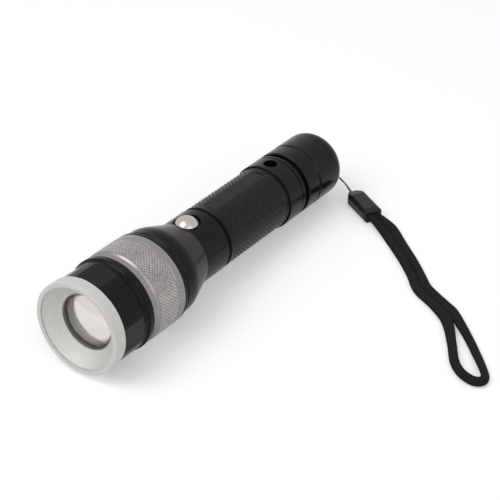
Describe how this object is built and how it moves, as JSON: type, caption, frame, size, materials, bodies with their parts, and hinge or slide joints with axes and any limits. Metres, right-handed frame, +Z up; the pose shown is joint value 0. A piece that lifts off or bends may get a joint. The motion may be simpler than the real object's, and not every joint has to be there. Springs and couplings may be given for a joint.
{
  "type": "zoom flashlight",
  "caption": "Zoom flashlight lying on its side: knurled tube, domed push button, turning focus ring that slides the head, screw tail cap and wrist strap.",
  "frame": {"origin": "on the floor, under the middle of the torch's length without the wrist strap", "axes": "+X toward the lens in plan (the torch axis rises toward the lens by the angle at which it lies), +Z up, switch on top"},
  "size_m": [0.1592, 0.1403, 0.0385],
  "materials": {
    "black_aluminium": "black anodised, satin",
    "silver_aluminium": "bare turned, satin",
    "bright_button": "plated, bright",
    "seal_rubber": "matt",
    "steel": "plain",
    "brass": "plain",
    "pill_aluminium": "bare turned",
    "board": "solder mask",
    "white_plastic": "moulded",
    "black_plastic": "moulded",
    "cell": "plastic wrap over a metal can",
    "emitter": "phosphor under a clear dome",
    "wire": "insulation",
    "lens": "clear, polished",
    "string": "thin braided thread",
    "strap": "woven, folded edge"
  },
  "bodies": {
    "tube": {"body_tube": "black_aluminium", "tail_o_ring": "seal_rubber", "neck_o_ring": "seal_rubber", "charge_carrier": "white_plastic", "charge_board": "board", "dc_socket": "black_plastic", "dc_contact": "brass", "cell_contact": "brass", "battery_cell": "cell", "driver_contact": "brass", "driver_board": "board", "switch_housing": "black_aluminium", "switch_board": "board", "tact_switch": "black_plastic", "button_ring": "black_plastic", "led_pill": "pill_aluminium", "led_board": "white_plastic", "led_emitter": "emitter", "led_screws": "steel", "led_wires": "wire", "ring_circlip": "steel"},
    "button": {"switch_button": "bright_button", "switch_plunger": "white_plastic"},
    "ring": {"focus_ring": "silver_aluminium"},
    "head": {"head_sleeve": "black_aluminium", "follower_pins": "steel", "front_bezel": "silver_aluminium", "lens_gasket": "seal_rubber", "condenser_lens": "lens", "lens_retainer": "black_aluminium"},
    "tail_contact": {"spring_plate": "brass", "tail_spring": "steel"},
    "tail": {"tail_cap": "black_aluminium", "lanyard_pin": "steel", "lanyard_string": "string", "lanyard_connector": "black_plastic", "lanyard_strap": "strap"}
  },
  "joints": [
    {"name": "button_press", "type": "slide", "parent": "tube", "child": "button", "axis": [0.0449, 0, -0.999], "range_m": [0, 0.0004], "stiffness_N_per_m": 3000, "springref_m": -0.0005},
    {"name": "focus_turn", "type": "hinge", "parent": "tube", "child": "ring", "pos_m": [0.04647, 0, 0.01886], "axis": [0.999, 0, 0.0449], "range_deg": [0, 60]},
    {"name": "head_zoom", "type": "slide", "parent": "tube", "child": "head", "axis": [0.999, 0, 0.0449], "range_m": [0, 0.008]},
    {"name": "cap_draw", "type": "slide", "parent": "tube", "child": "tail_contact", "axis": [-0.999, 0, -0.0449], "range_m": [0, 0.006]},
    {"name": "cap_turn", "type": "hinge", "parent": "tail_contact", "child": "tail", "pos_m": [-0.06442, 0, 0.01388], "axis": [-0.999, 0, -0.0449], "range_deg": [0, 1440]}
  ],
  "couplings": [
    {"joint": "focus_turn", "follows": "head_zoom", "rad_per_m": 130.9},
    {"joint": "cap_turn", "follows": "cap_draw", "rad_per_m": 4188.8}
  ]
}
